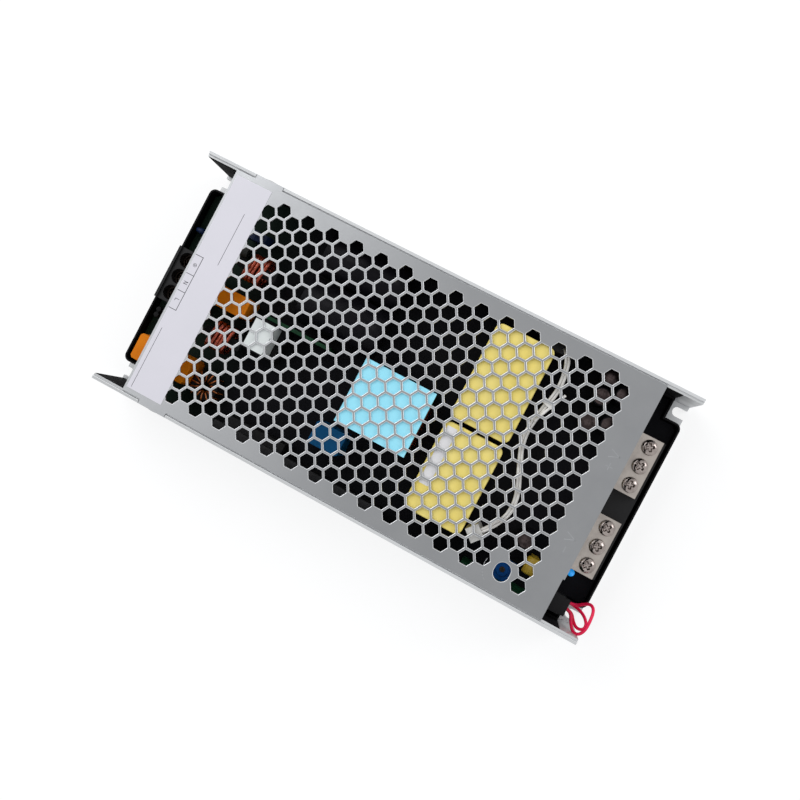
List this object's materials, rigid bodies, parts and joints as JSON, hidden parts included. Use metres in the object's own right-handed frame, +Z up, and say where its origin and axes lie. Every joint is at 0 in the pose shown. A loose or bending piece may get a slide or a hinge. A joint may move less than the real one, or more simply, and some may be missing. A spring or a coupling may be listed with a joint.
{
  "type": "enclosed switching power supply",
  "caption": "Low fanless enclosed power supply: aluminium channel chassis, honeycomb perforated cover, recessed input terminals at one end, screw output bars at the other.",
  "frame": {"origin": "centre of the chassis's underside, at the middle of its length and width", "axes": "+X along the length towards the output end, +Y across the width, +Z up out of the perforated cover"},
  "size_m": [0.2424, 0.115, 0.041],
  "materials": {
    "chassis_aluminium": "satin",
    "cover_aluminium": "brushed",
    "label_film": "matt",
    "tray_film": "matt",
    "board_green": "gloss",
    "spacer_nylon": "matt",
    "terminal_black": "matt",
    "terminal_nickel": "satin",
    "screw_nickel": "polished",
    "trimmer_blue": "matt",
    "rotor_blue": "matt",
    "connector_black": "matt",
    "lamp_blue": "gloss",
    "connector_white": "matt",
    "wire_red": "gloss",
    "wire_white": "matt",
    "pad_cyan": "matt",
    "pad_white": "matt",
    "ferrite": "matt",
    "winding_copper": "enamelled",
    "tape_yellow": "matt",
    "bobbin_black": "matt",
    "film_orange": "gloss",
    "film_blue": "gloss",
    "sleeve_dark": "gloss",
    "sleeve_yellow": "matt",
    "relay_black": "matt",
    "card_green": "gloss",
    "heat_bar": "satin",
    "epoxy_black": "matt",
    "epoxy_blue": "matt",
    "fuse_ceramic": "matt"
  },
  "bodies": {
    "housing": {"chassis": "chassis_aluminium", "cover": "cover_aluminium", "rating_label": "label_film", "insulation_tray": "tray_film", "main_board": "board_green", "board_spacers": "spacer_nylon", "input_terminal_block": "terminal_black", "input_clamps": "terminal_nickel", "input_terminal_screws": "screw_nickel", "output_bar_positive": "terminal_nickel", "output_bar_negative": "terminal_nickel", "output_terminal_screws": "screw_nickel", "output_terminal_base": "terminal_black", "trimmer_body": "trimmer_blue", "trimmer_card": "card_green", "status_lamp": "lamp_blue", "control_header": "connector_black", "control_plug": "connector_black", "jumper_wire_high": "wire_red", "jumper_wire_low": "wire_red", "white_lead": "wire_white", "white_lead_plug": "connector_white", "cable_tie": "wire_white", "thermal_pad": "pad_cyan", "boost_choke_core": "ferrite", "boost_choke_winding": "winding_copper", "relay": "relay_black", "white_pad": "pad_white", "transformer_core_1": "ferrite", "transformer_tape_1": "tape_yellow", "transformer_bobbin_1": "bobbin_black", "transformer_core_2": "ferrite", "transformer_tape_2": "tape_yellow", "transformer_bobbin_2": "bobbin_black", "bulk_capacitor_1": "sleeve_dark", "bulk_capacitor_2": "sleeve_dark", "front_film_capacitor": "film_orange", "rear_film_capacitor": "film_orange", "blue_film_capacitor": "film_blue", "line_choke_core_1": "ferrite", "line_choke_winding_1": "winding_copper", "line_choke_core_2": "ferrite", "line_choke_winding_2": "winding_copper", "ring_choke": "winding_copper", "input_fuse": "fuse_ceramic", "varistor": "epoxy_blue", "control_card": "card_green", "output_capacitors": "sleeve_dark", "sleeved_capacitor": "sleeve_yellow", "input_heat_bar": "heat_bar", "output_heat_bar": "heat_bar", "rectifier_bridge": "epoxy_black"},
    "rotor": {"trimmer_rotor": "rotor_blue"}
  },
  "joints": [
    {"name": "trimmer_turn", "type": "hinge", "parent": "housing", "child": "rotor", "pos_m": [0.0797, -0.0456, 0.0285], "axis": [0, 0, 1], "range_deg": [-130, 130]}
  ]
}
